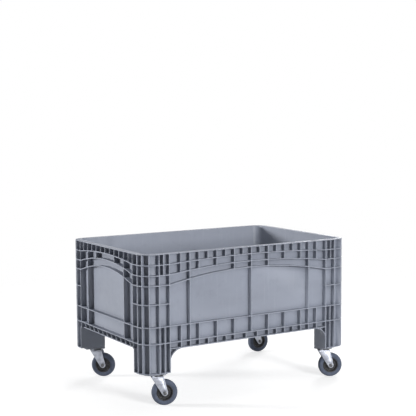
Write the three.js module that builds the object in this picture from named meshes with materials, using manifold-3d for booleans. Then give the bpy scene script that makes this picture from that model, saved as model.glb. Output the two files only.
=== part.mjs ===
// Bulk pallet box with four feet on swivel casters, in millimetres, +Z up.
// The origin is on the ground under the middle of the box, and +X runs along a long side.
import * as THREE from "three";
import { mergeVertices } from "three/addons/utils/BufferGeometryUtils.js";
import Module from "manifold-3d";

const wasm = await Module();
wasm.setup();

// Running and seating gap between neighbouring pieces
const gap = 0.3;

// Box, overall. Depths are measured down from the rim.
const boxLength = 1200;
const boxWidth = 800;
const cornerRadius = 69;
const footDepth = 566;
const wallDepth = 454.5;
const floorDepth = 416;
const floorThickness = 5;
const wallThickness = 4;
const rimThickness = 4;

// Ribs outside the walls
const ribDepth = 25;
const ribThickness = 4.5;
const ribPitch = 50;
const columnLength = 143;
const columnWidth = 112;
const ringDepths = [50, 99, 147, 235, 342, 420.5];
const longArchRises = [16, 30, 48];
const shortArchRises = [18.5, 36.5, 47.5];
const longArchSteps = 8;
const shortArchSteps = 8;
const skirtInset = 10;

// Ribs of the corner columns, by distance from the end of a long side or by angle round the corner
const columnRibPlace = 84.5;
const upperColumnRibPlace = 108;
const lowerColumnRibPlace = 112;
const cornerRibAngles = [4, 30, 60];
const cornerArcSteps = 6;

// Feet
const footLength = 142;
const footWidth = 104;
const footInnerRadius = 14;
const footFlangeThickness = 4;
const archRadius = 70;
const archReach = 66;
const archSteps = 5;
const spokeAngles = [25, 62];

// How far pieces run past the box's outer faces before they are cut to its outline
const cutMargin = 1;

// Plinth under each foot, which drops inside the rim of the box below in a stack
const plinthBottom = 155;
const plinthDrop = 11;
const plinthWall = 6;
const stackClearance = 2;
const plinthInnerInset = 1;

// Ribs under the floor
const floorRibThickness = 4;
const floorRibPitch = 150;

// Caster, overall
const casterHeight = plinthBottom - gap;
const wheelDiameter = 125;
const wheelWidth = 32;
const trail = 37;

// Caster top plate and its screws
const plateLength = 77;
const plateWidth = 65;
const plateThickness = 3;
const plateCornerRadius = 6;
const plateEdge = 1.5;
const screwPitchX = 61.5;
const screwPitchY = 48;
const screwDiameter = 8;
const screwHeadWidth = 13;
const screwHeadHeight = 4.5;
const screwLength = 24;
const bossWidth = 18;
const bossDepth = 40;

// Swivel head
const bearingHeight = 5.9;
const bearingDiameter = 60;
const lowerRaceHeight = 4;
const lowerRaceDiameter = 28;
const kingpinDiameter = 14;
const kingpinHeadDiameter = 22;
const kingpinHeadHeight = 3;

// Fork
const forkThickness = 3;
const forkTopLength = 62;
const forkEndRadius = 14.5;
const forkBendRadius = 8;
const wheelToFork = 3.5;
const forkPressing = 1.2;
const forkPressingMargin = 7;
const forkSteps = 6;

// Wheel and axle
const rimDiameter = 79;
const rimWidth = 28;
const rimLipThickness = 5;
const webThickness = 9;
const hubDiameter = 30;
const hubToFork = 1.5;
const tyreShoulder = 9;
const tyreCrown = 13;
const wheelSteps = 24;
const axleDiameter = 10;
const axleSleeveWall = 4;
const axleHeadWidth = 17;
const axleHeadHeight = 6.5;
const axleNutHeight = 8;
const axleTail = 3;

// Each caster's corner and the way it trails at rest, as an angle from +X
const casterPlaces = [
  { name: "front_left", endSide: -1, longSide: -1, turn: -20 },
  { name: "front_right", endSide: 1, longSide: -1, turn: -24 },
  { name: "back_left", endSide: -1, longSide: 1, turn: -38 },
  { name: "back_right", endSide: 1, longSide: 1, turn: -4 },
];

// Values that follow from the sizes above
const halfLength = boxLength / 2;
const halfWidth = boxWidth / 2;
const footBottom = plinthBottom + plinthDrop;
const rimTop = footBottom + footDepth;

// Height above the ground of a depth below the rim
const at = (depth) => rimTop - depth;

// More values that follow from the sizes above
const wallInset = ribDepth + wallThickness;
const ribReach = ribDepth + wallThickness / 2;
const plinthInset = wallInset + stackClearance;
const flangeTop = footBottom + footFlangeThickness;
const legTop = at(floorDepth + floorThickness / 2);
const plateBottom = casterHeight - plateThickness;
const forkTop = plateBottom - bearingHeight - 2 * gap;
const forkInnerHalf = wheelWidth / 2 + wheelToFork;
const forkOuterHalf = forkInnerHalf + forkThickness;
const wheelRadius = wheelDiameter / 2;
const swivelFromEnd = footLength - plateEdge - plateLength / 2;
const swivelFromSide = footWidth - plateEdge - plateWidth / 2;

const radians = THREE.MathUtils.degToRad;

// A closed three.js geometry as a solid that can be joined and cut
function solid(geometry) {
  const plain = geometry.clone();
  plain.deleteAttribute("normal");
  plain.deleteAttribute("uv");
  const merged = mergeVertices(plain, 1e-4);
  const vertProperties = new Float32Array(merged.attributes.position.array);
  const triVerts = new Uint32Array(merged.index.array);
  return new wasm.Manifold(new wasm.Mesh({ numProp: 3, vertProperties, triVerts }));
}

// A joined or cut solid as a three.js geometry again
function geometryOf(body) {
  const mesh = body.getMesh();
  const geometry = new THREE.BufferGeometry();
  geometry.setAttribute("position", new THREE.BufferAttribute(new Float32Array(mesh.vertProperties), 3));
  geometry.setIndex(new THREE.BufferAttribute(new Uint32Array(mesh.triVerts), 1));
  geometry.computeVertexNormals();
  return geometry;
}

function joined(geometries) {
  return geometries.map(solid).reduce((whole, piece) => whole.add(piece));
}

// A block between two corners, given in any order
function block(x0, x1, y0, y1, z0, z1) {
  const geometry = new THREE.BoxGeometry(Math.abs(x1 - x0), Math.abs(y1 - y0), Math.abs(z1 - z0));
  return geometry.translate((x0 + x1) / 2, (y0 + y1) / 2, (z0 + z1) / 2);
}

// An upright prism of a plan outline, with optional holes
function prism(outline, bottom, top, holes = []) {
  const shape = new THREE.Shape(outline);
  holes.forEach((hole) => shape.holes.push(new THREE.Path(hole)));
  const geometry = new THREE.ExtrudeGeometry(shape, { depth: top - bottom, bevelEnabled: false });
  return geometry.translate(0, 0, bottom);
}

// A plate whose outline is drawn in X and Z, reaching from y0 to y1
function sidePlate(outline, y0, y1) {
  return prism(outline, -y1, -y0).rotateX(Math.PI / 2);
}

function arcPoints(centreX, centreY, radius, fromAngle, toAngle, steps) {
  return Array.from({ length: steps + 1 }, (unused, step) => {
    const angle = radians(fromAngle + ((toAngle - fromAngle) * step) / steps);
    return new THREE.Vector2(centreX + radius * Math.cos(angle), centreY + radius * Math.sin(angle));
  });
}

function circle(radius, steps, centreX = 0, centreY = 0) {
  return arcPoints(centreX, centreY, radius, 0, 360, steps).slice(0, steps);
}

function roundedRectangle(length, width, radius, steps) {
  const x = length / 2 - radius;
  const y = width / 2 - radius;
  return [
    ...arcPoints(x, y, radius, 0, 90, steps),
    ...arcPoints(-x, y, radius, 90, 180, steps),
    ...arcPoints(-x, -y, radius, 180, 270, steps),
    ...arcPoints(x, -y, radius, 270, 360, steps),
  ];
}

// The box's plan outline, moved in by an inset
function boxOutline(inset) {
  const radius = cornerRadius - inset;
  return roundedRectangle(boxLength - 2 * inset, boxWidth - 2 * inset, radius, cornerArcSteps);
}

function ring(depthTop, depthBottom, outerInset, innerInset) {
  return prism(boxOutline(outerInset), at(depthBottom), at(depthTop), [boxOutline(innerInset)]);
}

function ribRing(depth) {
  return ring(depth, depth + ribThickness, -cutMargin, ribReach);
}

// A corner's plan outline, from the outer corner's inset to a length and a width from the two faces
function cornerOutline(place, inset, length, width, innerRadius) {
  const outer = arcPoints(cornerRadius, cornerRadius, cornerRadius - inset, 270, 180, cornerArcSteps);
  const innerCentreX = length - innerRadius;
  const innerCentreY = width - innerRadius;
  const inner = arcPoints(innerCentreX, innerCentreY, innerRadius, 90, 0, 3);
  const edge = [new THREE.Vector2(inset, width), ...inner, new THREE.Vector2(length, inset)];
  return [...outer, ...edge].map((point) => new THREE.Vector2(
    place.endSide * (halfLength - point.x),
    place.longSide * (halfWidth - point.y),
  ));
}

// The depth of an arched rib below the rim, at a place along its wall
function archDepth(wall, index, along) {
  const share = along / (wall.span / 2);
  return ringDepths[index] - wall.archRises[index] * (1 - share * share);
}

// A wall's own frame has X along the wall from its middle, and Y inwards from its outer face
const longWall = { span: boxLength - 2 * columnLength, archRises: longArchRises, steps: longArchSteps };
const shortWall = { span: boxWidth - 2 * columnWidth, archRises: shortArchRises, steps: shortArchSteps };

function archRib(wall, index) {
  const upper = Array.from({ length: wall.steps + 1 }, (unused, step) => {
    const along = wall.span * (step / wall.steps - 0.5);
    return new THREE.Vector2(along, at(archDepth(wall, index, along)));
  });
  const lower = upper.map((point) => new THREE.Vector2(point.x, point.y - ribThickness)).reverse();
  return sidePlate([...upper, ...lower], -cutMargin, ribReach);
}

function wallRib(along, depthTop, depthBottom) {
  const half = ribThickness / 2;
  return block(along - half, along + half, -cutMargin, ribReach, at(depthTop), at(depthBottom));
}

// The last rib number of a wall that keeps clear of its columns
function lastRib(wall) {
  return Math.floor((wall.span / 2 - ribPitch / 2) / ribPitch);
}

function longWallPieces() {
  const pieces = longWall.archRises.map((rise, index) => archRib(longWall, index));
  const last = lastRib(longWall);
  const seat = ribThickness / 2;
  const [, , , , panelDepth, bandDepth] = ringDepths;
  for (let number = -last; number <= last; number += 1) {
    const along = number * ribPitch;
    const count = Math.abs(number);
    const isPanelRib = count === last - 1 || count === 0;
    const isEven = count % 2 === 0;
    let reach = archDepth(longWall, 0, along) + seat;
    if (isEven) reach = archDepth(longWall, 1, along) + seat;
    if (count === 2) reach = archDepth(longWall, 2, along) + seat;
    if (isPanelRib) reach = bandDepth + seat;
    pieces.push(wallRib(along, seat, reach));
    if (isEven && !isPanelRib) pieces.push(wallRib(along, panelDepth + seat, bandDepth + seat));
    if (count >= 2) pieces.push(wallRib(along, bandDepth + seat, wallDepth - seat));
  }
  [-1, 1].forEach((side) => {
    pieces.push(wallRib((side * 2 * ribPitch) / 3, bandDepth + seat, wallDepth - seat));
  });
  const half = boxLength / 2 - footLength;
  pieces.push(block(-half, half, -cutMargin, ribReach, at(wallDepth), at(wallDepth - ribThickness)));
  return pieces;
}

function shortWallPieces() {
  const pieces = shortWall.archRises.map((rise, index) => archRib(shortWall, index));
  const last = lastRib(shortWall);
  const seat = ribThickness / 2;
  const bandDepth = ringDepths[5];
  for (let number = -last; number <= last; number += 1) {
    const along = number * ribPitch;
    const count = Math.abs(number);
    const isEven = count > 0 && count % 2 === 0;
    let reach = archDepth(shortWall, 0, along) + seat;
    if (isEven) reach = archDepth(shortWall, 1, along) + seat;
    if (count === last - 1) reach = bandDepth + seat;
    pieces.push(wallRib(along, seat, reach));
    pieces.push(skirtRib(along));
  }
  const half = boxWidth / 2 - footWidth;
  pieces.push(block(-half, half, skirtInset, ribReach, at(wallDepth), at(wallDepth - ribThickness)));
  return pieces;
}

// A rib below the last ring of a short wall, whose outer edge leans in
function skirtRib(along) {
  const top = at(ringDepths[5] + ribThickness / 2);
  const bottom = at(wallDepth - ribThickness / 2);
  const outline = [
    new THREE.Vector2(cutMargin, top),
    new THREE.Vector2(ribReach, top),
    new THREE.Vector2(ribReach, bottom),
    new THREE.Vector2(skirtInset, bottom),
  ];
  const plate = sidePlate(outline, -ribThickness / 2, ribThickness / 2);
  return plate.rotateZ(Math.PI / 2).translate(along, 0, 0);
}

// The same wall pieces on both facing sides of the box
function onBothSides(pieces, angle, distance) {
  return [angle, angle + Math.PI].flatMap((turn) => pieces.map((piece) => {
    const copy = piece.clone().translate(0, -distance, 0);
    return copy.rotateZ(turn);
  }));
}

// The upright ribs and short rings of one corner column, down to the foot's flange
function columnPieces(place) {
  const half = ribThickness / 2;
  const x = (distance) => place.endSide * (halfLength - distance);
  const y = (distance) => place.longSide * (halfWidth - distance);
  const onLong = (distance, depthTop, depthBottom) =>
    block(x(distance - half), x(distance + half), y(-cutMargin), y(ribReach), at(depthTop), at(depthBottom));
  const onShort = (distance, depthTop, depthBottom) =>
    block(x(-cutMargin), x(ribReach), y(distance - half), y(distance + half), at(depthTop), at(depthBottom));
  const edge = at(wallDepth - ribThickness);
  const pieces = [
    onLong(columnRibPlace, half, footDepth - half),
    onLong(upperColumnRibPlace, half, ringDepths[1] + half),
    onLong(lowerColumnRibPlace, ringDepths[4] + half, footDepth - half),
    onLong(footLength - half, half, footDepth - half),
    onShort(columnWidth - half, half, wallDepth - half),
    onShort(footWidth - half, wallDepth - ribThickness, footDepth - half),
    block(x(-cutMargin), x(ribReach), y(footWidth - half), y(columnWidth), at(wallDepth), edge),
    prism(cornerOutline(place, -cutMargin, footLength, footWidth, footInnerRadius), footBottom, flangeTop),
  ];
  cornerRibAngles.forEach((angle) => {
    const direction = radians(angle);
    const from = cornerRadius - ribReach;
    const rib = block(from, cornerRadius + cutMargin, -half, half, at(half), at(footDepth - half));
    rib.rotateZ(Math.atan2(place.longSide * Math.sin(direction), place.endSide * Math.cos(direction)));
    pieces.push(rib.translate(x(cornerRadius), y(cornerRadius), 0));
  });
  return pieces;
}

// The ring parts that only cross the corner columns
function columnRings() {
  const cut = joined(casterPlaces.map((place) => block(
    place.endSide * (halfLength + 2 * cutMargin),
    place.endSide * (halfLength - columnLength),
    place.longSide * (halfWidth + 2 * cutMargin),
    place.longSide * (halfWidth - columnWidth),
    at(footDepth),
    at(0),
  )));
  const rings = ringDepths.slice(0, 4).map(ribRing);
  return joined(rings).intersect(cut);
}

// The two inner walls of a leg, which meet in a rounded corner. The box's own wall closes the other sides.
function legWall(place) {
  const line = (length, width, radius) => [
    new THREE.Vector2(ribReach, width),
    ...arcPoints(length - radius, width - radius, radius, 90, 0, 3),
    new THREE.Vector2(length, ribReach),
  ];
  const outer = line(footLength, footWidth, footInnerRadius);
  const inner = line(footLength - wallThickness, footWidth - wallThickness, footInnerRadius - wallThickness);
  const outline = [...outer, ...inner.reverse()].map((point) => new THREE.Vector2(
    place.endSide * (halfLength - point.x),
    place.longSide * (halfWidth - point.y),
  ));
  return prism(outline, footBottom, legTop);
}

// A box body with one foot's plinth, cross ribs and screw bosses put in, and its holes cut
function withPlinth(body, place) {
  const x = (distance) => place.endSide * (halfLength - distance);
  const y = (distance) => place.longSide * (halfWidth - distance);
  const upright = (inset, trim, bottom, top) => solid(prism(
    cornerOutline(place, inset, footLength - trim, footWidth - trim, footInnerRadius - trim),
    bottom,
    top,
  ));
  const middleOfWall = plinthWall / 2;
  const plinth = upright(plinthInset, plinthInnerInset, plinthBottom, footBottom + footFlangeThickness / 2);
  const innerTrim = plinthInnerInset + plinthWall;
  const opening = upright(plinthInset + plinthWall, innerTrim, plinthBottom - 1, flangeTop + 1);
  const half = floorRibThickness / 2;
  const lineX = swivelFromEnd - screwPitchX / 2;
  const lineY = swivelFromSide - screwPitchY / 2;
  const crossRibs = [
    block(x(lineX - half), x(lineX + half), y(ribReach), y(footWidth), plinthBottom, legTop),
    block(x(ribReach), x(footLength), y(lineY - half), y(lineY + half), plinthBottom, legTop),
  ];
  const screws = screwPlaces().map((screw) => ({
    x: x(swivelFromEnd) + screw.x,
    y: y(swivelFromSide) + screw.y,
  }));
  const reach = bossWidth / 2;
  const bossTop = plinthBottom + bossDepth;
  const bosses = screws.map((screw) =>
    block(screw.x - reach, screw.x + reach, screw.y - reach, screw.y + reach, plinthBottom, bossTop));
  const holeTop = plinthBottom + screwLength + 2;
  const screwHoles = screws.map((screw) =>
    prism(circle(screwDiameter / 2 + gap, 8, screw.x, screw.y), plinthBottom - 1, holeTop));
  const low = upright(plinthInset + middleOfWall, plinthInnerInset + middleOfWall, plinthBottom, flangeTop);
  const high = upright(ribReach, wallThickness / 2, footBottom + 1, legTop);
  const filling = joined([...crossRibs, ...bosses]).intersect(low.add(high));
  return body.add(plinth).subtract(opening).add(filling).subtract(joined(screwHoles));
}

// Outlines in a long wall's frame, round the curved corner of a fork opening beside a foot
function openingArc(side, radius, reach, top) {
  const centreX = side * (halfLength - footLength - archReach);
  const centreZ = at(wallDepth) - archRadius;
  const from = THREE.MathUtils.radToDeg(Math.acos(reach / radius));
  const to = THREE.MathUtils.radToDeg(Math.asin((top - centreZ) / radius));
  const arc = arcPoints(centreX, centreZ, radius, from, to, archSteps);
  return side > 0 ? arc : arcPoints(centreX, centreZ, radius, 180 - from, 180 - to, archSteps);
}

// The curved rib along a fork opening's corner, and the spokes behind it
function openingCorner(side) {
  const centreX = side * (halfLength - footLength - archReach);
  const centreZ = at(wallDepth) - archRadius;
  const ribRadius = archRadius + ribThickness;
  const joinHeight = at(wallDepth) + ribThickness / 2;
  const inner = archRadius - cutMargin;
  const outline = [
    ...openingArc(side, ribRadius, archReach + cutMargin, joinHeight),
    new THREE.Vector2(centreX, joinHeight),
    ...openingArc(side, inner, archReach + cutMargin, centreZ + inner).reverse(),
  ];
  const rib = solid(sidePlate(outline, -cutMargin, ribReach));
  const reach = centreX + side * (archReach + cutMargin);
  const room = solid(block(centreX, reach, -cutMargin, ribReach, footBottom, joinHeight));
  const half = ribThickness / 2;
  const spokes = spokeAngles.map((angle) => {
    const spoke = block(ribRadius - 1, 2 * archRadius, -cutMargin, ribReach, -half, half);
    return spoke.rotateY(-radians(side > 0 ? angle : 180 - angle)).translate(centreX, 0, centreZ);
  });
  return geometryOf(rib.add(joined(spokes).intersect(room)));
}

// The open space under the box between its feet, seen from the long side and from the short side
function underSpace() {
  const half = halfLength - footLength;
  const low = footBottom - cutMargin;
  const archway = sidePlate([
    new THREE.Vector2(-half, low),
    new THREE.Vector2(half, low),
    ...openingArc(1, archRadius, archReach, at(wallDepth)),
    ...openingArc(-1, archRadius, archReach, at(wallDepth)).reverse(),
  ], -halfWidth - cutMargin, halfWidth + cutMargin);
  const reach = halfLength + cutMargin;
  const side = halfWidth - footWidth;
  return joined([archway, block(-reach, reach, -side, side, low, at(wallDepth))]);
}

// The underside of the floor has a grid of ribs down to the lower edge of the walls
function floorPieces() {
  const pieces = [prism(boxOutline(ribReach), at(floorDepth + floorThickness), at(floorDepth))];
  const half = floorRibThickness / 2;
  const top = at(floorDepth + floorThickness / 2);
  const lastAcross = Math.floor((halfLength - footLength - floorRibPitch / 3) / floorRibPitch);
  const lastAlong = Math.floor((halfWidth - footWidth - floorRibPitch / 3) / floorRibPitch);
  for (let number = -lastAcross; number <= lastAcross; number += 1) {
    const x = number * floorRibPitch;
    pieces.push(block(x - half, x + half, -halfWidth + ribReach, halfWidth - ribReach, at(wallDepth), top));
  }
  for (let number = -lastAlong; number <= lastAlong; number += 1) {
    const y = number * floorRibPitch;
    pieces.push(block(-halfLength + ribReach, halfLength - ribReach, y - half, y + half, at(wallDepth), top));
  }
  return pieces;
}

function boxBody() {
  const wall = ring(0, footDepth, ribDepth, wallInset);
  const rings = [
    ring(0, rimThickness, -cutMargin, ribReach),
    ...ringDepths.slice(4).map(ribRing),
  ];
  const corners = [-1, 1].map(openingCorner);
  const pieces = [
    wall,
    ...rings,
    ...onBothSides([...longWallPieces(), ...corners], 0, halfWidth),
    ...onBothSides(shortWallPieces(), Math.PI / 2, halfLength),
    ...casterPlaces.flatMap(columnPieces),
    ...casterPlaces.map(legWall),
    ...floorPieces(),
  ];
  const outline = solid(prism(boxOutline(0), footBottom, rimTop)).subtract(underSpace());
  const body = joined(pieces).add(columnRings()).intersect(outline);
  return geometryOf(casterPlaces.reduce(withPlinth, body));
}

// A turned piece about Z, from points of radius and height
function turned(points, steps) {
  const profile = points.map(([radius, height]) => new THREE.Vector2(radius, height));
  return new THREE.LatheGeometry(profile, steps).rotateX(Math.PI / 2);
}

// A ring about Z with a square section
function collar(innerRadius, outerRadius, bottom, top, steps) {
  const section = [
    [innerRadius, bottom],
    [outerRadius, bottom],
    [outerRadius, top],
    [innerRadius, top],
    [innerRadius, bottom],
  ];
  return turned(section, steps);
}

function screwPlaces() {
  return [-1, 1].flatMap((sideX) => [-1, 1].map((sideY) => ({
    x: (sideX * screwPitchX) / 2,
    y: (sideY * screwPitchY) / 2,
  })));
}

function topPlate() {
  const holes = screwPlaces().map(({ x, y }) => circle(screwDiameter / 2 + gap, 8, x, y));
  holes.push(circle(kingpinDiameter / 2 + gap, 12));
  const outline = roundedRectangle(plateLength, plateWidth, plateCornerRadius, 3);
  return prism(outline, plateBottom, casterHeight, holes);
}

// A hexagon head under a round shank, pointing up
function plateScrew() {
  const headTop = plateBottom - gap;
  const head = prism(circle(screwHeadWidth / Math.sqrt(3), 6), headTop - screwHeadHeight, headTop);
  const shank = prism(circle(screwDiameter / 2, 8), headTop - 1, headTop + screwLength);
  return geometryOf(joined([head, shank]));
}

function swivelBearing() {
  const top = plateBottom - gap;
  const inner = kingpinDiameter / 2 + gap;
  const outer = bearingDiameter / 2;
  const chamfer = bearingHeight / 3;
  return turned([
    [inner, top - bearingHeight],
    [outer - chamfer, top - bearingHeight],
    [outer, top - chamfer],
    [outer, top],
    [inner, top],
    [inner, top - bearingHeight],
  ], 16);
}

function lowerRace() {
  const top = forkTop - forkThickness - gap;
  return collar(kingpinDiameter / 2 + gap, lowerRaceDiameter / 2, top - lowerRaceHeight, top, 12);
}

function kingpin() {
  const headTop = forkTop - forkThickness - 2 * gap - lowerRaceHeight;
  const shank = kingpinDiameter / 2;
  const head = kingpinHeadDiameter / 2;
  const seat = casterHeight + gap;
  return turned([
    [0, headTop - kingpinHeadHeight],
    [head, headTop - kingpinHeadHeight],
    [head, headTop],
    [shank, headTop],
    [shank, seat],
    [head - 2, seat],
    [head - 2, seat + 2],
    [0, seat + 2],
  ], 10);
}

// The side outline of a fork leg, which narrows to a round end at the axle
function forkOutline(margin) {
  const top = forkTop - margin;
  const half = forkTopLength / 2 - margin;
  const radius = forkEndRadius - margin;
  const rise = top - wheelRadius;
  const tangentAngle = (offset) => {
    const distance = Math.hypot(offset, rise);
    return THREE.MathUtils.radToDeg(Math.atan2(rise, offset) - Math.acos(radius / distance));
  };
  const from = tangentAngle(half - trail);
  const mirrored = THREE.MathUtils.radToDeg(
    Math.atan2(rise, -half - trail) + Math.acos(radius / Math.hypot(half + trail, rise)),
  );
  const end = arcPoints(trail, wheelRadius, radius, from, mirrored - 360, forkSteps);
  return [new THREE.Vector2(-half, top), new THREE.Vector2(half, top), ...end];
}

// A pressed steel fork: a bent strip cut to the side outline, with raised panels on both legs
function fork() {
  const bend = forkBendRadius;
  const innerBend = bend - forkThickness;
  const low = wheelRadius - forkEndRadius - 1;
  const strip = [
    new THREE.Vector2(-forkOuterHalf, low),
    new THREE.Vector2(-forkInnerHalf, low),
    ...arcPoints(innerBend - forkInnerHalf, forkTop - bend, innerBend, 180, 90, 2),
    ...arcPoints(forkInnerHalf - innerBend, forkTop - bend, innerBend, 90, 0, 2),
    new THREE.Vector2(forkInnerHalf, low),
    new THREE.Vector2(forkOuterHalf, low),
    ...arcPoints(forkOuterHalf - bend, forkTop - bend, bend, 0, 90, 2),
    ...arcPoints(bend - forkOuterHalf, forkTop - bend, bend, 90, 180, 2),
  ];
  const reach = forkTopLength + trail;
  const channel = solid(sidePlate(strip, -reach, reach).rotateZ(Math.PI / 2));
  const silhouette = solid(sidePlate(forkOutline(0), -forkOuterHalf - 1, forkOuterHalf + 1));
  const pin = solid(prism(circle(kingpinDiameter / 2 + gap, 12), forkTop - 2 * forkThickness, forkTop + 1));
  const axle = solid(sidePlate(
    circle(axleDiameter / 2 + gap, 12, trail, wheelRadius),
    -forkOuterHalf - forkPressing - 1,
    forkOuterHalf + forkPressing + 1,
  ));
  const panel = forkOutline(forkPressingMargin);
  const pressedTop = forkTop - bend - 1;
  const raised = solid(sidePlate(panel, -forkOuterHalf - forkPressing, forkOuterHalf + forkPressing));
  const clear = solid(block(-reach, reach, -forkInnerHalf - 1, forkInnerHalf + 1, 0, forkTop));
  const band = solid(block(-reach, reach, -reach, reach, wheelRadius + forkEndRadius, pressedTop));
  const pressing = raised.subtract(clear).intersect(band);
  return geometryOf(channel.intersect(silhouette).subtract(pin).add(pressing).subtract(axle));
}

// Wheel pieces are turned about Z at first, then laid along Y at the axle
function onAxle(geometry) {
  return geometry.rotateX(-Math.PI / 2).translate(trail, 0, wheelRadius);
}

function wheelRim() {
  const bore = axleDiameter / 2 + axleSleeveWall + 2 * gap;
  const hub = hubDiameter / 2;
  const outer = rimDiameter / 2;
  const lip = outer - rimLipThickness;
  const hubHalf = forkInnerHalf - hubToFork;
  const webHalf = webThickness / 2;
  const half = [
    [bore, hubHalf],
    [hub, hubHalf],
    [hub, webHalf],
    [lip, webHalf],
    [lip, rimWidth / 2],
    [outer, rimWidth / 2],
  ];
  const other = half.map(([radius, height]) => [radius, -height]).reverse();
  return onAxle(turned([...half, ...other, half[0]].reverse(), wheelSteps));
}

function tyre() {
  const bore = rimDiameter / 2 + gap;
  const half = [
    [bore, rimWidth / 2],
    [bore + tyreShoulder, wheelWidth / 2],
    [wheelRadius - 3, wheelWidth / 2 - 4],
    [wheelRadius, tyreCrown / 2],
  ];
  const other = half.map(([radius, height]) => [radius, -height]);
  return onAxle(turned([...half, ...other.reverse(), half[0]].reverse(), wheelSteps));
}

function axleSleeve() {
  const inner = axleDiameter / 2 + gap;
  const half = forkInnerHalf - gap;
  return onAxle(collar(inner, inner + axleSleeveWall, -half, half, 12));
}

function axleBolt() {
  const seat = forkOuterHalf + gap;
  const end = seat + gap + axleNutHeight + axleTail;
  const shank = prism(circle(axleDiameter / 2, 12), -seat - 1, end);
  const head = prism(circle(axleHeadWidth / Math.sqrt(3), 6), -seat - axleHeadHeight, -seat);
  return onAxle(geometryOf(joined([shank, head])));
}

function axleNut() {
  const seat = forkOuterHalf + gap;
  const hole = circle(axleDiameter / 2 + gap, 12);
  return onAxle(prism(circle(axleHeadWidth / Math.sqrt(3), 6), seat, seat + axleNutHeight, [hole]));
}

// Materials, one for each mesh
function material(color, roughness, metalness) {
  return new THREE.MeshStandardMaterial({ color, roughness, metalness, flatShading: true });
}

const boxPlastic = () => material(0x8b93a1, 0.5, 0);
const zincSteel = () => material(0xc6cad2, 0.35, 0.9);
const darkSteel = () => material(0x5a5d63, 0.4, 0.9);
const hubPlastic = () => material(0x17181a, 0.5, 0);
const greyRubber = () => material(0x5d6478, 0.75, 0);

function named(name, geometry, finish) {
  const mesh = new THREE.Mesh(geometry, finish);
  mesh.name = name;
  return mesh;
}

// One caster: its fixed pieces, and a turned group that trails behind the swivel
function caster(place) {
  const { name } = place;
  const fixed = new THREE.Group();
  fixed.position.set(
    place.endSide * (halfLength - swivelFromEnd),
    place.longSide * (halfWidth - swivelFromSide),
    0,
  );
  fixed.add(named(`${name}_top_plate`, topPlate(), zincSteel()));
  fixed.add(named(`${name}_swivel_bearing`, swivelBearing(), darkSteel()));
  fixed.add(named(`${name}_lower_race`, lowerRace(), zincSteel()));
  fixed.add(named(`${name}_kingpin`, kingpin(), zincSteel()));
  screwPlaces().forEach(({ x, y }, index) => {
    const screw = named(`${name}_plate_screw_${index + 1}`, plateScrew(), zincSteel());
    screw.position.set(x, y, 0);
    fixed.add(screw);
  });
  const trailing = new THREE.Group();
  trailing.rotation.z = radians(place.turn);
  trailing.add(named(`${name}_fork`, fork(), zincSteel()));
  trailing.add(named(`${name}_axle_bolt`, axleBolt(), zincSteel()));
  trailing.add(named(`${name}_axle_nut`, axleNut(), zincSteel()));
  trailing.add(named(`${name}_axle_sleeve`, axleSleeve(), darkSteel()));
  trailing.add(named(`${name}_wheel_rim`, wheelRim(), hubPlastic()));
  trailing.add(named(`${name}_tyre`, tyre(), greyRubber()));
  fixed.add(trailing);
  return fixed;
}

const palletBox = new THREE.Group();
palletBox.add(named("box_body", boxBody(), boxPlastic()));
casterPlaces.forEach((place) => palletBox.add(caster(place)));

export default palletBox;
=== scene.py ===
from math import cos, pi, radians, sin

import bmesh
import bpy
from mathutils import Matrix, Vector

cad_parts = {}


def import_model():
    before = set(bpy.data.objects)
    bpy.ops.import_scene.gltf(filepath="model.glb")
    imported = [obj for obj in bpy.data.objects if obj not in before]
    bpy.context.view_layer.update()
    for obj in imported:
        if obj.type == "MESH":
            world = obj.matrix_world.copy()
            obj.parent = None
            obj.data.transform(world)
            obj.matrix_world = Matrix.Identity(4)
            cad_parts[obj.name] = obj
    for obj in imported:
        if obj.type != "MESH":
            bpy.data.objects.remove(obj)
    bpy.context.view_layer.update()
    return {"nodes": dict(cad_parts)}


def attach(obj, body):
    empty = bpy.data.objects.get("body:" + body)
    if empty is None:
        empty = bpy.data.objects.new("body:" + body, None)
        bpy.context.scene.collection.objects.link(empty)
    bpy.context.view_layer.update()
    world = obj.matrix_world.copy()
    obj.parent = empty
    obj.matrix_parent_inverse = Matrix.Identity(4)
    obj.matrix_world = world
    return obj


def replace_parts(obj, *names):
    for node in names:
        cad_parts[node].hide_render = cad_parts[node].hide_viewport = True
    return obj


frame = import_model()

MM = 0.001

# Caster sizes in millimetres, as in the part's source
GAP = 0.3
CASTER_TOP = 154.7
PLATE_THICKNESS = 3
PLATE_BOTTOM = CASTER_TOP - PLATE_THICKNESS
BEARING_HEIGHT = 5.9
BEARING_RADIUS = 30
FORK_TOP = PLATE_BOTTOM - BEARING_HEIGHT - 2 * GAP
FORK_THICKNESS = 3
FORK_CLEARANCE = 3.5
LOWER_RACE_HEIGHT = 4
LOWER_RACE_RADIUS = 14
KINGPIN_RADIUS = 7
KINGPIN_HEAD_RADIUS = 11
KINGPIN_HEAD_HEIGHT = 3
KINGPIN_TAIL_RADIUS = KINGPIN_HEAD_RADIUS - 2
KINGPIN_TAIL_HEIGHT = 2
WHEEL_RADIUS = 62.5
WHEEL_WIDTH = 32
RIM_RADIUS = 39.5
RIM_WIDTH = 28
HUB_CLEARANCE = 1.5
HUB_HALF = WHEEL_WIDTH / 2 + FORK_CLEARANCE - HUB_CLEARANCE
HUB_RADIUS = 15
AXLE_RADIUS = 5
SLEEVE_WALL = 4
SLEEVE_RADIUS = AXLE_RADIUS + GAP + SLEEVE_WALL
TRAIL = 37

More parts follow.
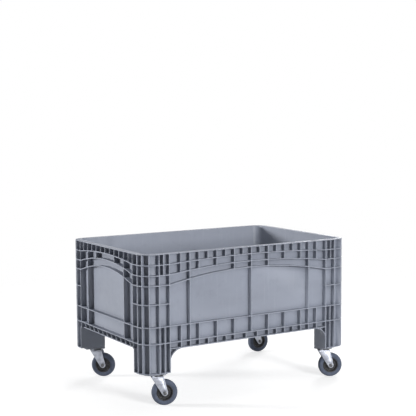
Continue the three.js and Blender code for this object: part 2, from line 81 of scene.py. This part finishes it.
# Each caster's swivel axis in millimetres, and the angle it trails at in degrees
SWIVEL_X = 498
SWIVEL_Y = 330
CASTERS = {
    "front_left": (-SWIVEL_X, -SWIVEL_Y, -20),
    "front_right": (SWIVEL_X, -SWIVEL_Y, -24),
    "back_left": (-SWIVEL_X, SWIVEL_Y, -38),
    "back_right": (SWIVEL_X, SWIVEL_Y, -4),
}
PLATE_SCREWS = (1, 2, 3, 4)

# Points of a CAD node closer than this, in metres, are joined before its edges are rounded
WELD_DISTANCE = 0.00001

# Steps around the turned pieces
WHEEL_STEPS = 96
BEARING_STEPS = 72
PIN_STEPS = 48

# Colours, as linear red, green and blue
PLASTIC_DEEP = (0.235, 0.257, 0.312)
PLASTIC_PALE = (0.290, 0.315, 0.382)
PLASTIC_STREAK = (0.335, 0.36, 0.43)
PLASTIC_GRIME = (0.125, 0.134, 0.16)
# Painted shade: the colour the box's cells and corners darken towards
PLASTIC_PAINTED_SHADE = (0.085, 0.093, 0.118)
PLASTIC_RUBBED = (0.60, 0.635, 0.72)
ZINC_DEEP = (0.275, 0.29, 0.335)
ZINC_PALE = (0.45, 0.47, 0.53)
ZINC_DULL = (0.20, 0.20, 0.22)
# Dark steel, used as painted shade on the top plates and swivel bearings under the box's feet
DARK_STEEL_SHADE_DEEP = (0.075, 0.077, 0.083)
DARK_STEEL_SHADE_PALE = (0.17, 0.173, 0.182)
RIM_BLACK = (0.012, 0.012, 0.014)
RIM_DUST = (0.065, 0.067, 0.075)
RUBBER_DEEP = (0.066, 0.081, 0.119)
RUBBER_PALE = (0.122, 0.142, 0.197)
FLOOR_GREY = (0.6, 0.6, 0.6)
WHITE = (1.0, 1.0, 1.0)

# How bright the floor shows to the camera, and how much the sky lights
FLOOR_LIFT = 0.62
SKY_LIGHT = 0.09

# Floor in metres: half its width, its drop under the wheels, and where it fades into the background
FLOOR_HALF = 6
FLOOR_DROP = 0.0004
FADE_START = 1.3
FADE_END = 3.6

# Square soft lights, turned to one target: place and width in metres, power in watts
LIGHT_TARGET = (0, 0, 0.4)
LIGHTS = {
    "key": ((0.6, -6.0, 1.9), 1.6, 310),
    "left": ((-5.2, 3.1, 1.5), 0.8, 300),
    "top": ((0.8, 0.4, 4.6), 2.6, 40),
    "fill": ((4.4, 3.0, 2.4), 2.0, 130),
}

# Camera: lens and sensor in millimetres, place and clipping distance in metres, angles in degrees
CAMERA_LENS = 87.63
SENSOR_WIDTH = 36
CAMERA_CLIP = 60
CAMERA_PLACE = (-2.75361, -4.46889, 1.36045)
CAMERA_AZIMUTH = 31.621
CAMERA_ELEVATION = 5.116
CAMERA_ROLL = -0.381


# Node trees
class Tree:
    """The nodes of a new material or world, with short calls to add and link them."""

    def __init__(self, owner):
        owner.use_nodes = True
        self.owner = owner
        self.nodes = owner.node_tree.nodes
        self.links = owner.node_tree.links

    def add(self, kind, **values):
        node = self.nodes.new(kind)
        for key, value in values.items():
            setattr(node, key, value)
        return node

    def link(self, source, target):
        self.links.new(source, target)

    def ramp(self, value, low, high, start=0.0, end=1.0):
        node = self.add("ShaderNodeMapRange")
        node.clamp = True
        node.inputs["From Min"].default_value = low
        node.inputs["From Max"].default_value = high
        node.inputs["To Min"].default_value = start
        node.inputs["To Max"].default_value = end
        self.link(value, node.inputs["Value"])
        return node.outputs["Result"]

    def maths(self, operation, first, second):
        node = self.add("ShaderNodeMath", operation=operation)
        for socket, value in zip(node.inputs, (first, second)):
            if isinstance(value, (int, float)):
                socket.default_value = value
            else:
                self.link(value, socket)
        return node.outputs[0]

    def seen_rays(self):
        """1 for the rays that show a surface to the camera, 0 for the rays that light."""
        rays = self.add("ShaderNodeLightPath").outputs
        seen = self.maths("MAXIMUM", rays["Is Camera Ray"], rays["Is Glossy Ray"])
        return self.maths("MAXIMUM", seen, rays["Is Transmission Ray"])


class MaterialTree(Tree):
    """A new material's nodes around its principled shader."""

    def __init__(self, name):
        super().__init__(bpy.data.materials.new(name))
        self.shader = self.nodes["Principled BSDF"]
        self.place = self.add("ShaderNodeTexCoord").outputs["Object"]

    def noise(self, scale, detail=3.0, stretch=None, rough=0.5):
        node = self.add("ShaderNodeTexNoise")
        node.inputs["Scale"].default_value = scale
        node.inputs["Detail"].default_value = detail
        node.inputs["Roughness"].default_value = rough
        place = self.place
        if stretch:
            mapping = self.add("ShaderNodeMapping")
            mapping.inputs["Scale"].default_value = stretch
            self.link(place, mapping.inputs["Vector"])
            place = mapping.outputs["Vector"]
        self.link(place, node.inputs["Vector"])
        return node.outputs["Fac"]

    def mix(self, share, first, second):
        node = self.add("ShaderNodeMix", data_type="RGBA")
        self.link(share, node.inputs["Factor"])
        for socket, value in ((node.inputs["A"], first), (node.inputs["B"], second)):
            if isinstance(value, tuple):
                socket.default_value = (*value, 1.0)
            else:
                self.link(value, socket)
        return node.outputs["Result"]

    def bump(self, height, distance, strength=1.0, normal=None):
        node = self.add("ShaderNodeBump")
        node.inputs["Strength"].default_value = strength
        node.inputs["Distance"].default_value = distance
        self.link(height, node.inputs["Height"])
        if normal:
            self.link(normal, node.inputs["Normal"])
        return node.outputs["Normal"]

    def worn_edges(self, radius):
        """1 on outer edges and corners within the radius, 0 on flat faces."""
        bevel = self.add("ShaderNodeBevel", samples=4)
        bevel.inputs["Radius"].default_value = radius
        geometry = self.add("ShaderNodeNewGeometry")
        dot = self.add("ShaderNodeVectorMath", operation="DOT_PRODUCT")
        self.link(bevel.outputs["Normal"], dot.inputs[0])
        self.link(geometry.outputs["Normal"], dot.inputs[1])
        flat_face, full_corner = 0.995, 0.8
        return self.ramp(dot.outputs["Value"], low=flat_face, high=full_corner)

    def painted_shade_mask(self, distance):
        """Ambient occlusion as a mask for painted shade: 0 deep inside narrow cells and corners, 1 on open
        faces.
        """
        node = self.add("ShaderNodeAmbientOcclusion", samples=6)
        node.inputs["Distance"].default_value = distance
        return node.outputs["AO"]


# Materials
def moulded_plastic():
    """Blue-grey polyethylene with grain, flow streaks, scuffs, painted shade in its cells and corners, and
    paler rubbed edges.
    """
    tree = MaterialTree("moulded_plastic")
    flow = tree.noise(scale=2.2, detail=4.0, stretch=(1.0, 1.0, 2.6))
    base = tree.mix(tree.ramp(flow, low=0.3, high=0.7), PLASTIC_DEEP, PLASTIC_PALE)
    streaks = tree.noise(scale=9.0, detail=5.0, stretch=(9.0, 9.0, 0.7), rough=0.62)
    base = tree.mix(tree.ramp(streaks, low=0.54, high=0.72, start=0.0, end=0.30), base, PLASTIC_STREAK)
    stains = tree.noise(scale=14.0, detail=6.0, rough=0.7)
    base = tree.mix(tree.ramp(stains, low=0.56, high=0.74, start=0.0, end=0.22), base, PLASTIC_GRIME)
    # Painted shade: the colour darkens deep inside narrow cells and corners, where shade falls
    cells = tree.painted_shade_mask(distance=0.035)
    base = tree.mix(tree.ramp(cells, low=0.25, high=0.85, start=0.6, end=0.0), base, PLASTIC_PAINTED_SHADE)
    wear = tree.ramp(tree.noise(scale=30.0, detail=4.0), low=0.35, high=0.6, start=0.45, end=1.0)
    rubbed = tree.maths("MULTIPLY", tree.worn_edges(radius=0.0022), wear)
    base = tree.mix(rubbed, base, PLASTIC_RUBBED)
    tree.link(base, tree.shader.inputs["Base Color"])
    rough = tree.ramp(tree.noise(scale=20.0, detail=5.0), low=0.3, high=0.75, start=0.42, end=0.60)
    tree.link(rough, tree.shader.inputs["Roughness"])
    tree.shader.inputs["Specular IOR Level"].default_value = 0.45
    wave = tree.bump(tree.noise(scale=7.0, detail=2.0), distance=0.0016, strength=0.3)
    grain = tree.noise(scale=1500.0, detail=2.0)
    grained = tree.bump(grain, distance=0.00012, strength=0.5, normal=wave)
    marks = tree.noise(scale=26.0, detail=3.0, stretch=(0.5, 0.5, 14.0), rough=0.8)
    scratch = tree.ramp(marks, low=0.66, high=0.72)
    scratched = tree.bump(scratch, distance=0.0001, strength=0.35, normal=grained)
    tree.link(scratched, tree.shader.inputs["Normal"])
    return tree.owner


def zinc_plate():
    """Zinc plated steel, faintly cloudy, with fine drawing lines and a few dull spots."""
    tree = MaterialTree("zinc_plate")
    cloud = tree.noise(scale=60.0, detail=4.0)
    base = tree.mix(tree.ramp(cloud, low=0.3, high=0.7), ZINC_DEEP, ZINC_PALE)
    spots = tree.noise(scale=180.0, detail=5.0, rough=0.7)
    base = tree.mix(tree.ramp(spots, low=0.6, high=0.75, start=0.0, end=0.4), base, ZINC_DULL)
    tree.link(base, tree.shader.inputs["Base Color"])
    tree.shader.inputs["Metallic"].default_value = 0.92
    tree.link(tree.ramp(cloud, low=0.25, high=0.75, start=0.32, end=0.50), tree.shader.inputs["Roughness"])
    lines = tree.noise(scale=900.0, detail=2.0, stretch=(1.0, 1.0, 0.08))
    tree.link(tree.bump(lines, distance=0.00006, strength=0.5), tree.shader.inputs["Normal"])
    return tree.owner


def bearing_steel():
    """Dark steel with turning marks. Its darkness is painted shade on the zinc plated top plates and on the
    swivel bearings under the box's feet; the axle bolts and sleeves get it too.
    """
    tree = MaterialTree("bearing_steel")
    cloud = tree.noise(scale=90.0, detail=4.0)
    base = tree.mix(tree.ramp(cloud, low=0.3, high=0.7), DARK_STEEL_SHADE_DEEP, DARK_STEEL_SHADE_PALE)
    tree.link(base, tree.shader.inputs["Base Color"])
    tree.shader.inputs["Metallic"].default_value = 0.8
    tree.link(tree.ramp(cloud, low=0.3, high=0.7, start=0.28, end=0.46), tree.shader.inputs["Roughness"])
    marks = tree.noise(scale=700.0, detail=2.0, stretch=(0.1, 0.1, 4.0))
    tree.link(tree.bump(marks, distance=0.00005, strength=0.5), tree.shader.inputs["Normal"])
    return tree.owner


def rim_plastic():
    """Black moulded wheel centre, with a fine grain and a little dust."""
    tree = MaterialTree("rim_plastic")
    most_dust = 0.35
    specks = tree.noise(scale=70.0, detail=6.0, rough=0.7)
    dust = tree.ramp(specks, low=0.5, high=0.75, start=0.0, end=most_dust)
    base = tree.mix(dust, RIM_BLACK, RIM_DUST)
    tree.link(base, tree.shader.inputs["Base Color"])
    tree.link(tree.ramp(dust, low=0.0, high=most_dust, start=0.38, end=0.62), tree.shader.inputs["Roughness"])
    grain = tree.noise(scale=1800.0, detail=2.0)
    tree.link(tree.bump(grain, distance=0.0001, strength=0.5), tree.shader.inputs["Normal"])
    return tree.owner


def tyre_rubber():
    """Blue-grey rubber, matt, with dust in patches and a fine pitted skin."""
    tree = MaterialTree("tyre_rubber")
    patch = tree.noise(scale=45.0, detail=6.0, rough=0.65)
    base = tree.mix(tree.ramp(patch, low=0.35, high=0.7), RUBBER_DEEP, RUBBER_PALE)
    tree.link(base, tree.shader.inputs["Base Color"])
    tree.link(tree.ramp(patch, low=0.3, high=0.7, start=0.62, end=0.82), tree.shader.inputs["Roughness"])
    tree.shader.inputs["Specular IOR Level"].default_value = 0.3
    pits = tree.bump(tree.noise(scale=1200.0, detail=3.0), distance=0.00015, strength=0.6)
    wear = tree.noise(scale=160.0, detail=4.0)
    tree.link(tree.bump(wear, distance=0.0003, strength=0.35, normal=pits), tree.shader.inputs["Normal"])
    return tree.owner


MATERIALS = {
    "box_plastic": moulded_plastic(),
    "zinc_steel": zinc_plate(),
    "dark_steel": bearing_steel(),
    "rim_plastic": rim_plastic(),
    "tyre_rubber": tyre_rubber(),
}


# CAD nodes that stay: rounded edges and a material
def dress(node, finish, edge, segments=2, smooth_angle=35):
    obj = frame["nodes"][node]
    obj.data.materials.clear()
    obj.data.materials.append(MATERIALS[finish])
    obj.data.polygons.foreach_set("use_smooth", [True] * len(obj.data.polygons))
    weld = obj.modifiers.new("weld", "WELD")
    weld.merge_threshold = WELD_DISTANCE
    bevel = obj.modifiers.new("edges", "BEVEL")
    bevel.width = edge * MM
    bevel.segments = segments
    bevel.limit_method = "ANGLE"
    bevel.angle_limit = radians(smooth_angle)
    bevel.use_clamp_overlap = False
    bevel.harden_normals = True


# New pieces
def rounded(points, radius, steps=3):
    """A closed profile with its corners rounded, as far as the edges beside them allow."""
    straight = radians(168)
    most_of_edge = 0.45
    result = []
    count = len(points)
    for index, corner in enumerate(points):
        corner = Vector(corner)
        before = Vector(points[index - 1]) - corner
        after = Vector(points[(index + 1) % count]) - corner
        if before.angle(after, pi) > straight or corner.x <= 0:
            result.append(tuple(corner))
            continue
        reach = min(radius, most_of_edge * before.length, most_of_edge * after.length)
        start = corner + before.normalized() * reach
        end = corner + after.normalized() * reach
        for step in range(steps + 1):
            share = step / steps
            curve = start * (1 - share) ** 2 + corner * 2 * share * (1 - share) + end * share ** 2
            result.append(tuple(curve))
    return result


def piece(name, work, finish, body, smooth_angle=32):
    """A piece from finished bmesh work, in millimetres, on its body."""
    bmesh.ops.recalc_face_normals(work, faces=work.faces)
    bmesh.ops.scale(work, vec=(MM, MM, MM), verts=work.verts)
    mesh = bpy.data.meshes.new(name)
    work.to_mesh(mesh)
    work.free()
    mesh.polygons.foreach_set("use_smooth", [True] * len(mesh.polygons))
    mesh.set_sharp_from_angle(angle=radians(smooth_angle))
    mesh.materials.append(MATERIALS[finish])
    obj = bpy.data.objects.new(name, mesh)
    bpy.context.scene.collection.objects.link(obj)
    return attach(obj, body)


def lathe(work, profile, steps, place):
    """Turns a closed profile of radius and height about the place's Z axis."""
    rings = []
    for radius, height in profile:
        if radius <= 0:
            rings.append([work.verts.new(place @ Vector((0, 0, height)))] * steps)
            continue
        rings.append([
            work.verts.new(place @ Vector((
                radius * cos(2 * pi * step / steps),
                radius * sin(2 * pi * step / steps),
                height,
            )))
            for step in range(steps)
        ])
    for index, ring in enumerate(rings):
        following = rings[(index + 1) % len(rings)]
        for step in range(steps):
            beside = (step + 1) % steps
            corners = [ring[step], ring[beside], following[beside], following[step]]
            unique = list(dict.fromkeys(corners))
            if len(unique) > 2:
                work.faces.new(unique)


def prism(work, outline, bottom, top, place, edge, segments=2):
    """An upright prism of a plan outline, with the edges of its two ends rounded."""
    low = [work.verts.new(place @ Vector((x, y, bottom))) for x, y in outline]
    high = [work.verts.new(place @ Vector((x, y, top))) for x, y in outline]
    ends = [work.faces.new(low[::-1]), work.faces.new(high)]
    count = len(outline)
    for index in range(count):
        beside = (index + 1) % count
        work.faces.new([low[index], low[beside], high[beside], high[index]])
    edges = [rim for face in ends for rim in face.edges]
    bmesh.ops.bevel(work, geom=edges, offset=edge, segments=segments, affect="EDGES", clamp_overlap=True)


def mirrored_profile(half):
    """A closed profile from its upper half, listed from the bore outwards."""
    return half + [(radius, -height) for radius, height in reversed(half)]


# Wheels
def tyre_profile():
    """Bead, flank, shoulder and tread, with a parting groove in the middle of the tread."""
    bore = RIM_RADIUS + GAP
    bead = RIM_WIDTH / 2
    flank = WHEEL_WIDTH / 2
    bead_reach, bead_rise = 2.5, 0.6
    flank_start, flank_end, flank_draft = 9, 8, 0.6
    shoulder_drop, shoulder_inset = 3.2, 3.4
    tread_drop, tread_inset = 0.6, 7.5
    groove_half, groove_floor_half, groove_depth = 1.2, 0.5, 0.5
    half = [
        (bore, bead),
        (bore + bead_reach, bead + bead_rise),
        (bore + flank_start, flank),
        (WHEEL_RADIUS - flank_end, flank - flank_draft),
        (WHEEL_RADIUS - shoulder_drop, flank - shoulder_inset),
        (WHEEL_RADIUS - tread_drop, flank - tread_inset),
        (WHEEL_RADIUS, groove_half),
        (WHEEL_RADIUS - groove_depth, groove_floor_half),
    ]
    return rounded(mirrored_profile(half), radius=3.0, steps=4)


def rim_profile():
    """Hub, web with a raised bead around the hub, and the lip that carries the tyre."""
    hub_taper, hub_foot, hub_foot_depth = 2, 0.5, 6
    fillet_reach, fillet_half = 1, 5.5
    web_half, web_start = 4.6, 5
    bead_half, bead_start, bead_width, bead_slope = 6.0, 6, 2, 1
    lip_thickness = 4.5
    lip = RIM_RADIUS - lip_thickness
    lip_foot, lip_bevel, lip_inset, lip_depth = 3, 0.8, 0.6, 1.6
    half = [
        (SLEEVE_RADIUS + GAP, HUB_HALF),
        (HUB_RADIUS - hub_taper, HUB_HALF),
        (HUB_RADIUS - hub_foot, HUB_HALF - hub_foot_depth),
        (HUB_RADIUS + fillet_reach, fillet_half),
        (HUB_RADIUS + web_start, web_half),
        (HUB_RADIUS + bead_start, bead_half),
        (HUB_RADIUS + bead_start + bead_width, bead_half),
        (HUB_RADIUS + bead_start + bead_width + bead_slope, web_half),
        (lip - lip_foot, web_half),
        (lip - lip_bevel, RIM_WIDTH / 2 - lip_depth),
        (lip + lip_inset, RIM_WIDTH / 2),
        (RIM_RADIUS, RIM_WIDTH / 2),
    ]
    return rounded(mirrored_profile(half), radius=1.2)


def spokes(work, axle):
    """Low radial ribs on both sides of the wheel centre's web."""
    rib_count = 10
    rib_half, rib_low, rib_top, rib_edge = 1.1, 4.0, 8.2, 0.5
    into_hub, from_rim = 1, 5.5
    inner = HUB_RADIUS - into_hub
    outer = RIM_RADIUS - from_rim
    rib = [(inner, -rib_half), (outer, -rib_half), (outer, rib_half), (inner, rib_half)]
    for index in range(rib_count):
        turn = Matrix.Rotation(2 * pi * index / rib_count, 4, "Z")
        for side in (0, pi):
            flip = Matrix.Rotation(side, 4, "X")
            prism(work, rib, rib_low, rib_top, axle @ turn @ flip, rib_edge)


def wheel_pieces(name, axle):
    body = f"{name}_wheel"
    work = bmesh.new()
    lathe(work, tyre_profile(), WHEEL_STEPS, axle)
    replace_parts(piece(f"{name}_rubber_tyre", work, "tyre_rubber", body), f"{name}_tyre")
    work = bmesh.new()
    lathe(work, rim_profile(), WHEEL_STEPS, axle)
    spokes(work, axle)
    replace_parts(piece(f"{name}_wheel_centre", work, "rim_plastic", body), f"{name}_wheel_rim")


# Swivel heads
def bearing_piece(name, place):
    """Two pressed races with the groove of the balls between them."""
    bore = KINGPIN_RADIUS + GAP
    top = PLATE_BOTTOM - GAP
    low = top - BEARING_HEIGHT
    seat, step = 20, 21
    lower_corner, lower_race, groove, upper_race = 26.5, 27.2, 26.4, 28.6
    step_up, corner_up, lower_up, groove_up, upper_up, skirt_up = 0.9, 1.3, 2.1, 2.9, 3.5, 4.7
    profile = [
        (bore, low),
        (seat, low),
        (step, low + step_up),
        (lower_corner, low + corner_up),
        (lower_race, low + lower_up),
        (groove, low + groove_up),
        (upper_race, low + upper_up),
        (BEARING_RADIUS, low + skirt_up),
        (BEARING_RADIUS, top),
        (bore, top),
    ]
    work = bmesh.new()
    lathe(work, rounded(profile, radius=0.6), BEARING_STEPS, place)
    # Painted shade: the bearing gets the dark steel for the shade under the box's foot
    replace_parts(piece(f"{name}_ball_head", work, "dark_steel", "root"), f"{name}_swivel_bearing")


def race_piece(name, place, low, top):
    """The lower race, with its outer bottom edge sloped."""
    slope = 1.5
    bore = KINGPIN_RADIUS + GAP
    profile = [
        (bore, low),
        (LOWER_RACE_RADIUS - slope, low),
        (LOWER_RACE_RADIUS, low + slope),
        (LOWER_RACE_RADIUS, top),
        (bore, top),
    ]
    work = bmesh.new()
    lathe(work, rounded(profile, radius=0.6), PIN_STEPS, place)
    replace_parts(piece(f"{name}_race_washer", work, "zinc_steel", "root"), f"{name}_lower_race")


def kingpin_piece(name, place, head_top):
    """The kingpin: a domed head below, a shank, and a riveted tail on the plate."""
    head_low = head_top - KINGPIN_HEAD_HEIGHT
    seat = CASTER_TOP + GAP
    tail_top = seat + KINGPIN_TAIL_HEIGHT
    dome_inset, dome_rise = 4, 0.2
    shoulder_inset, shoulder_rise = 1, 1.2
    edge = 0.4
    tail_slope, tail_drop = 2, 0.6
    profile = [
        (0, head_low),
        (KINGPIN_HEAD_RADIUS - dome_inset, head_low + dome_rise),
        (KINGPIN_HEAD_RADIUS - shoulder_inset, head_low + shoulder_rise),
        (KINGPIN_HEAD_RADIUS, head_top - edge),
        (KINGPIN_HEAD_RADIUS - edge, head_top),
        (KINGPIN_RADIUS, head_top),
        (KINGPIN_RADIUS, seat),
        (KINGPIN_TAIL_RADIUS, seat),
        (KINGPIN_TAIL_RADIUS, tail_top - tail_drop),
        (KINGPIN_TAIL_RADIUS - tail_slope, tail_top),
        (0, tail_top),
    ]
    work = bmesh.new()
    lathe(work, profile, PIN_STEPS, place)
    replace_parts(piece(f"{name}_king_rivet", work, "zinc_steel", "root"), f"{name}_kingpin")


def caster_pieces(name, x, y, turn):
    place = Matrix.Translation((x, y, 0))
    swivel = place @ Matrix.Rotation(radians(turn), 4, "Z")
    axle = swivel @ Matrix.Translation((TRAIL, 0, WHEEL_RADIUS)) @ Matrix.Rotation(-pi / 2, 4, "X")
    race_top = FORK_TOP - FORK_THICKNESS - GAP
    race_low = race_top - LOWER_RACE_HEIGHT
    wheel_pieces(name, axle)
    bearing_piece(name, place)
    race_piece(name, place, race_low, race_top)
    kingpin_piece(name, place, race_low - GAP)
    dress(f"{name}_fork", "zinc_steel", edge=0.9, segments=3, smooth_angle=20)
    # Painted shade: the zinc plated top plate gets the dark steel for the shade under the box's foot
    dress(f"{name}_top_plate", "dark_steel", edge=0.5)
    dress(f"{name}_axle_bolt", "dark_steel", edge=0.7)
    dress(f"{name}_axle_nut", "zinc_steel", edge=0.7)
    dress(f"{name}_axle_sleeve", "dark_steel", edge=0.4)
    for number in PLATE_SCREWS:
        dress(f"{name}_plate_screw_{number}", "zinc_steel", edge=0.5)


# Stage, lights and camera
def floor_material():
    """Pale matt floor that shows brighter than its light makes it and fades into the background."""
    tree = MaterialTree("pale_floor")
    tree.shader.inputs["Base Color"].default_value = (*FLOOR_GREY, 1.0)
    tree.shader.inputs["Roughness"].default_value = 0.9
    tree.shader.inputs["Specular IOR Level"].default_value = 0.1
    grain = tree.noise(scale=40.0, detail=4.0)
    tree.link(tree.bump(grain, distance=0.0002, strength=0.2), tree.shader.inputs["Normal"])
    glow = tree.add("ShaderNodeEmission")
    tree.link(tree.maths("MULTIPLY", tree.seen_rays(), FLOOR_LIFT), glow.inputs["Strength"])
    total = tree.add("ShaderNodeAddShader")
    tree.link(tree.shader.outputs["BSDF"], total.inputs[0])
    tree.link(glow.outputs["Emission"], total.inputs[1])
    length = tree.add("ShaderNodeVectorMath", operation="LENGTH")
    tree.link(tree.place, length.inputs[0])
    clear = tree.add("ShaderNodeBsdfTransparent")
    fade = tree.add("ShaderNodeMixShader")
    away = tree.ramp(length.outputs["Value"], low=FADE_START, high=FADE_END)
    tree.link(away, fade.inputs["Fac"])
    tree.link(total.outputs["Shader"], fade.inputs[1])
    tree.link(clear.outputs["BSDF"], fade.inputs[2])
    tree.link(fade.outputs["Shader"], tree.nodes["Material Output"].inputs["Surface"])
    return tree.owner


def floor():
    work = bmesh.new()
    bmesh.ops.create_grid(work, x_segments=2, y_segments=2, size=FLOOR_HALF)
    mesh = bpy.data.meshes.new("floor")
    work.to_mesh(mesh)
    work.free()
    mesh.materials.append(floor_material())
    obj = bpy.data.objects.new("floor", mesh)
    bpy.context.scene.collection.objects.link(obj)
    obj.location.z = -FLOOR_DROP


def world():
    """A white background that lights the scene only a little."""
    tree = Tree(bpy.data.worlds.new("studio"))
    tree.nodes.clear()
    background = tree.add("ShaderNodeBackground")
    background.inputs["Color"].default_value = (*WHITE, 1.0)
    strength = tree.ramp(tree.seen_rays(), low=0.0, high=1.0, start=SKY_LIGHT, end=1.0)
    tree.link(strength, background.inputs["Strength"])
    output = tree.add("ShaderNodeOutputWorld")
    tree.link(background.outputs["Background"], output.inputs["Surface"])
    bpy.context.scene.world = tree.owner


def soft_light(name, place, width, power):
    light = bpy.data.lights.new(name, "AREA")
    light.shape = "SQUARE"
    light.size = width
    light.energy = power
    obj = bpy.data.objects.new(name, light)
    bpy.context.scene.collection.objects.link(obj)
    obj.location = place
    toward = Vector(LIGHT_TARGET) - Vector(place)
    obj.rotation_euler = toward.to_track_quat("-Z", "Y").to_euler()


def camera():
    data = bpy.data.cameras.new("camera")
    data.lens = CAMERA_LENS
    data.sensor_width = SENSOR_WIDTH
    data.clip_end = CAMERA_CLIP
    obj = bpy.data.objects.new("camera", data)
    bpy.context.scene.collection.objects.link(obj)
    around = Matrix.Rotation(-radians(CAMERA_AZIMUTH), 4, "Z")
    down = Matrix.Rotation(pi / 2 - radians(CAMERA_ELEVATION), 4, "X")
    roll = Matrix.Rotation(radians(CAMERA_ROLL), 4, "Z")
    obj.matrix_world = Matrix.Translation(CAMERA_PLACE) @ around @ down @ roll
    bpy.context.scene.camera = obj


dress("box_body", "box_plastic", edge=0.9)
for caster_name, (swivel_x, swivel_y, trailing) in CASTERS.items():
    caster_pieces(caster_name, swivel_x, swivel_y, trailing)
floor()
world()
for light_name, (light_place, light_width, light_power) in LIGHTS.items():
    soft_light(light_name, light_place, light_width, light_power)
camera()
bpy.context.scene.view_settings.view_transform = "Standard"
